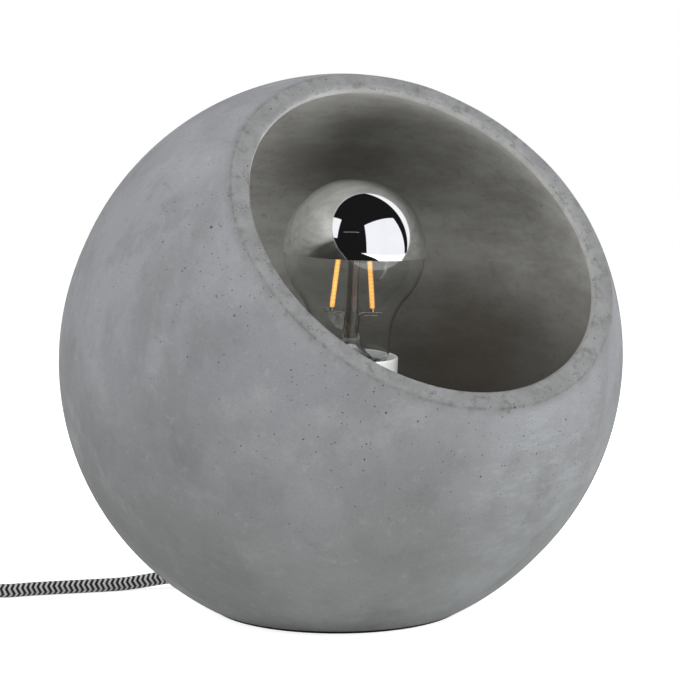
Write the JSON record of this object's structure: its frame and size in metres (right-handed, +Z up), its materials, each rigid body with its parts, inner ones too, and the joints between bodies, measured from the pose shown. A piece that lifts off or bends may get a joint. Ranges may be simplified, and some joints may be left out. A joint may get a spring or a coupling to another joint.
{
  "type": "table lamp",
  "caption": "Table lamp with a hollow cast concrete globe, a tilted round mouth, a white lampholder with a mirror-crown bulb, and a textile cord with switch and plug.",
  "frame": {"origin": "centre of the lamp's outline on the surface it stands on, under the globe's centre; the cord isn't counted", "axes": "+Z up, -Y towards the side that the mouth faces, +X to the right of someone who looks into the mouth"},
  "size_m": [0.3868, 0.2401, 0.2268],
  "materials": {
    "concrete": "cast, smooth, fine pits",
    "felt": "dense felt",
    "cover_steel": "satin",
    "brass": "satin",
    "zinc": "zinc plated",
    "spacer_metal": "satin white",
    "holder_white": "glossy white",
    "core_ceramic": "unglazed white",
    "lead_brown": "satin",
    "lead_blue": "satin",
    "clear_glass": "clear",
    "mirror_silver": "polished",
    "filament_amber": "amber coating",
    "nickel": "satin nickel",
    "black_glass": "black",
    "board_green": "satin",
    "black_rubber": "matt",
    "clamp_white": "satin",
    "cord_textile": "black and white zigzag braid",
    "black_plastic": "satin",
    "tie_black": "hook and loop"
  },
  "bodies": {
    "root": {"concrete_globe": "concrete", "foot_pad": "felt", "base_cover": "cover_steel", "cover_inserts": "brass", "screw_shell": "brass", "centre_contact": "brass", "terminals": "brass", "switch_contacts": "brass", "cover_screws": "zinc", "stem_tube": "zinc", "lower_washer": "zinc", "lower_nut": "zinc", "upper_washer": "zinc", "upper_nut": "zinc", "terminal_screws": "zinc", "clamp_screws": "zinc", "rocker_pin": "zinc", "switch_screws": "zinc", "spacer_tube": "spacer_metal", "holder_cap": "holder_white", "holder_skirt": "holder_white", "holder_core": "core_ceramic", "lead_live": "lead_brown", "lead_neutral": "lead_blue", "plug_pins": "nickel", "cord_bush": "black_rubber", "plug_sleeve": "black_rubber", "cord_clamp": "clamp_white", "cord_inner": "cord_textile", "cord_lead": "cord_textile", "switch_cord_ends": "cord_textile", "cord_link": "cord_textile", "cord_coil": "cord_textile", "cord_end": "cord_textile", "switch_lower": "black_plastic", "switch_upper": "black_plastic", "plug_body": "black_plastic", "pin_sleeves": "black_plastic", "cord_tie": "tie_black"},
    "bulb_foot": {"cap_insulator": "black_glass", "cap_contact": "nickel"},
    "bulb": {"bulb_glass": "clear_glass", "mirror_crown": "mirror_silver", "glass_stem": "clear_glass", "filaments": "filament_amber", "filament_wires": "nickel", "bulb_cap": "nickel", "driver_board": "board_green"},
    "rocker": {"switch_rocker": "black_plastic"}
  },
  "joints": [
    {"name": "bulb_lift", "type": "slide", "parent": "root", "child": "bulb_foot", "axis": [0, -0.0819, 0.9966], "range_m": [0, 0.0182]},
    {"name": "bulb_turn", "type": "hinge", "parent": "bulb_foot", "child": "bulb", "pos_m": [0, 0, 0.0015], "axis": [0, -0.0819, 0.9966], "range_deg": [0, 1800]},
    {"name": "rocker_tilt", "type": "hinge", "parent": "root", "child": "rocker", "pos_m": [-0.185, 0.086, 0.01], "axis": [0, 1, 0], "range_deg": [0, 14]}
  ],
  "couplings": [
    {"joint": "bulb_lift", "follows": "bulb_turn", "m_per_rad": 0.00057773}
  ]
}
